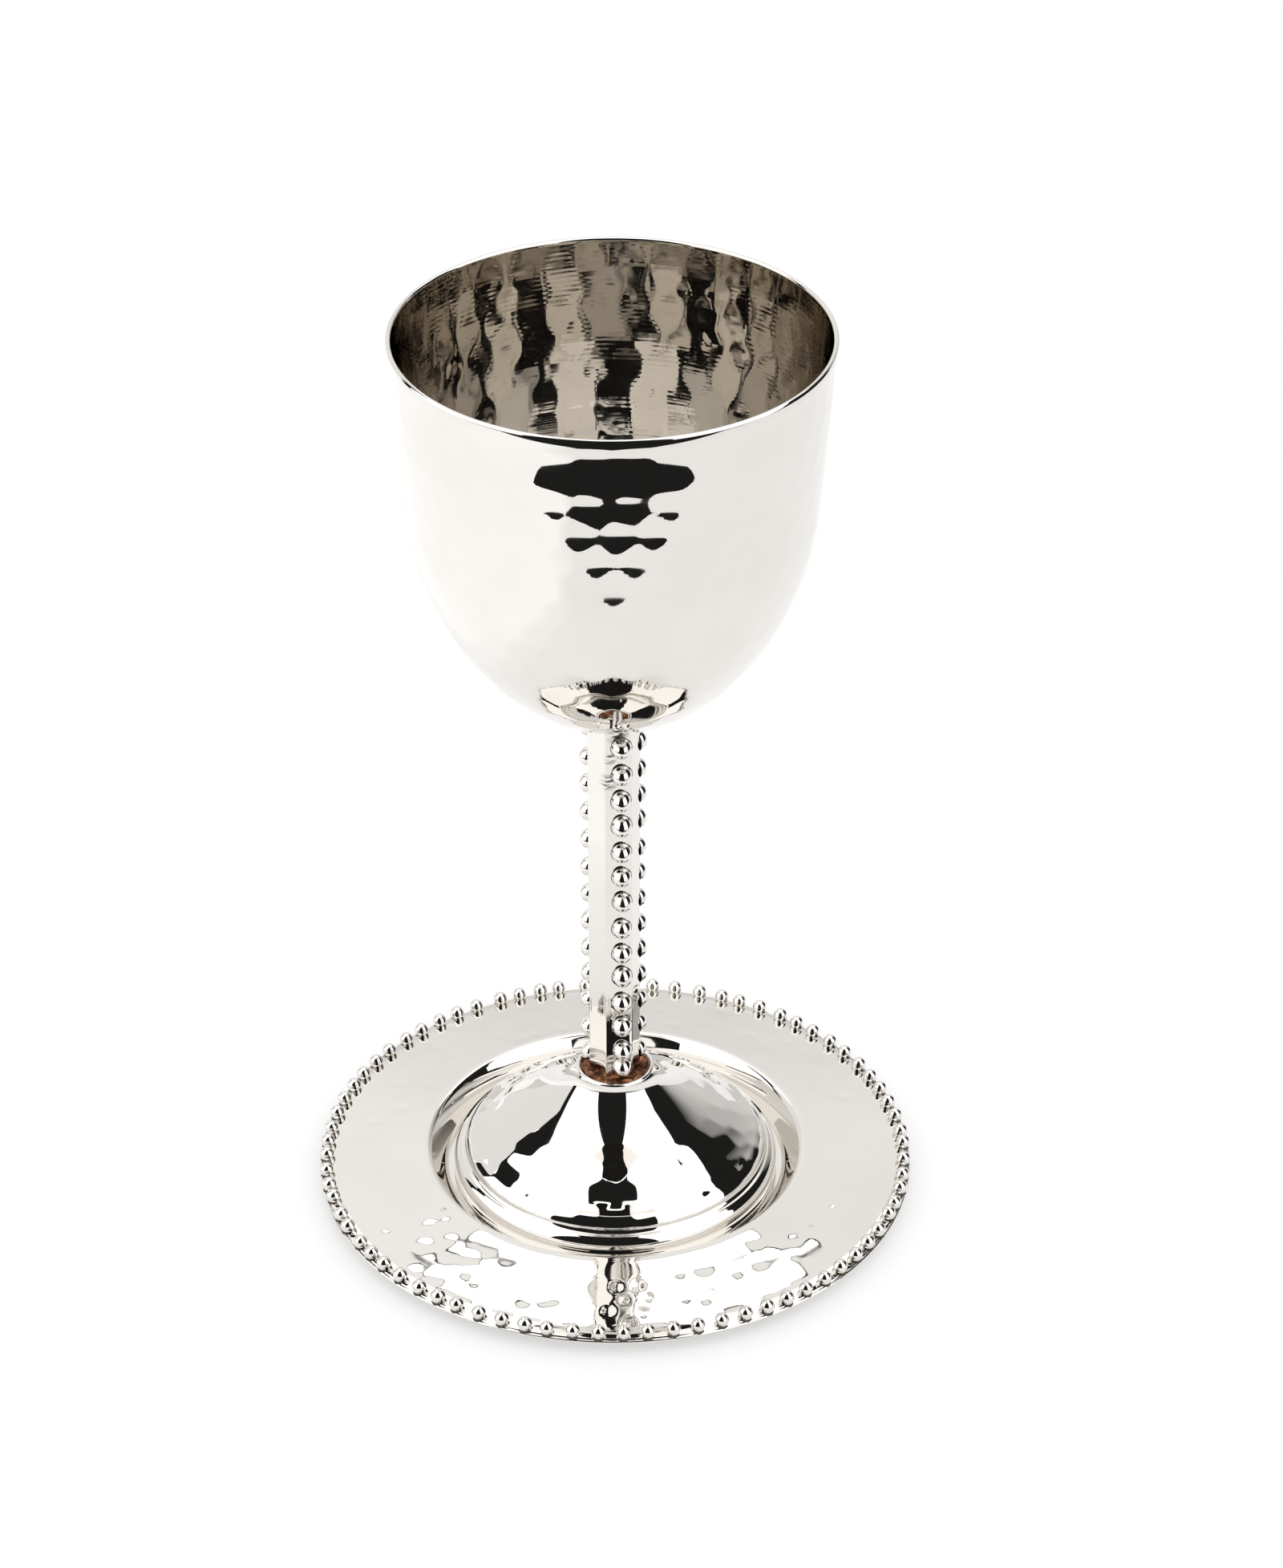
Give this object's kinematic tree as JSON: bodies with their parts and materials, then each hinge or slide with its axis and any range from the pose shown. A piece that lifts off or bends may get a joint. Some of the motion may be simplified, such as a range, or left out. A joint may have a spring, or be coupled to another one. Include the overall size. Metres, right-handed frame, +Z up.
{
  "type": "kiddush cup",
  "caption": "Stemmed metal wine cup with a hammered bowl, a beaded hexagonal stem and a domed foot, standing in the well of a round hammered saucer with a beaded rim.",
  "frame": {"origin": "centre of the saucer's flat underside, on the surface that the set stands on", "axes": "+Z up along the axis of the cup, -Y towards the viewer, +X to the viewer's right"},
  "size_m": [0.101, 0.101, 0.1596],
  "materials": {
    "bowl_silver": "bright polished, hammered",
    "stem_silver": "bright polished",
    "foot_silver": "bright polished, partly hammered",
    "copper_braze": "heat-darkened brazing alloy",
    "saucer_silver": "polished, hammered"
  },
  "bodies": {
    "root": {"bowl": "bowl_silver", "stem": "stem_silver", "foot": "foot_silver", "braze_ring": "copper_braze", "saucer": "saucer_silver", "rim_beading": "stem_silver"}
  },
  "joints": []
}
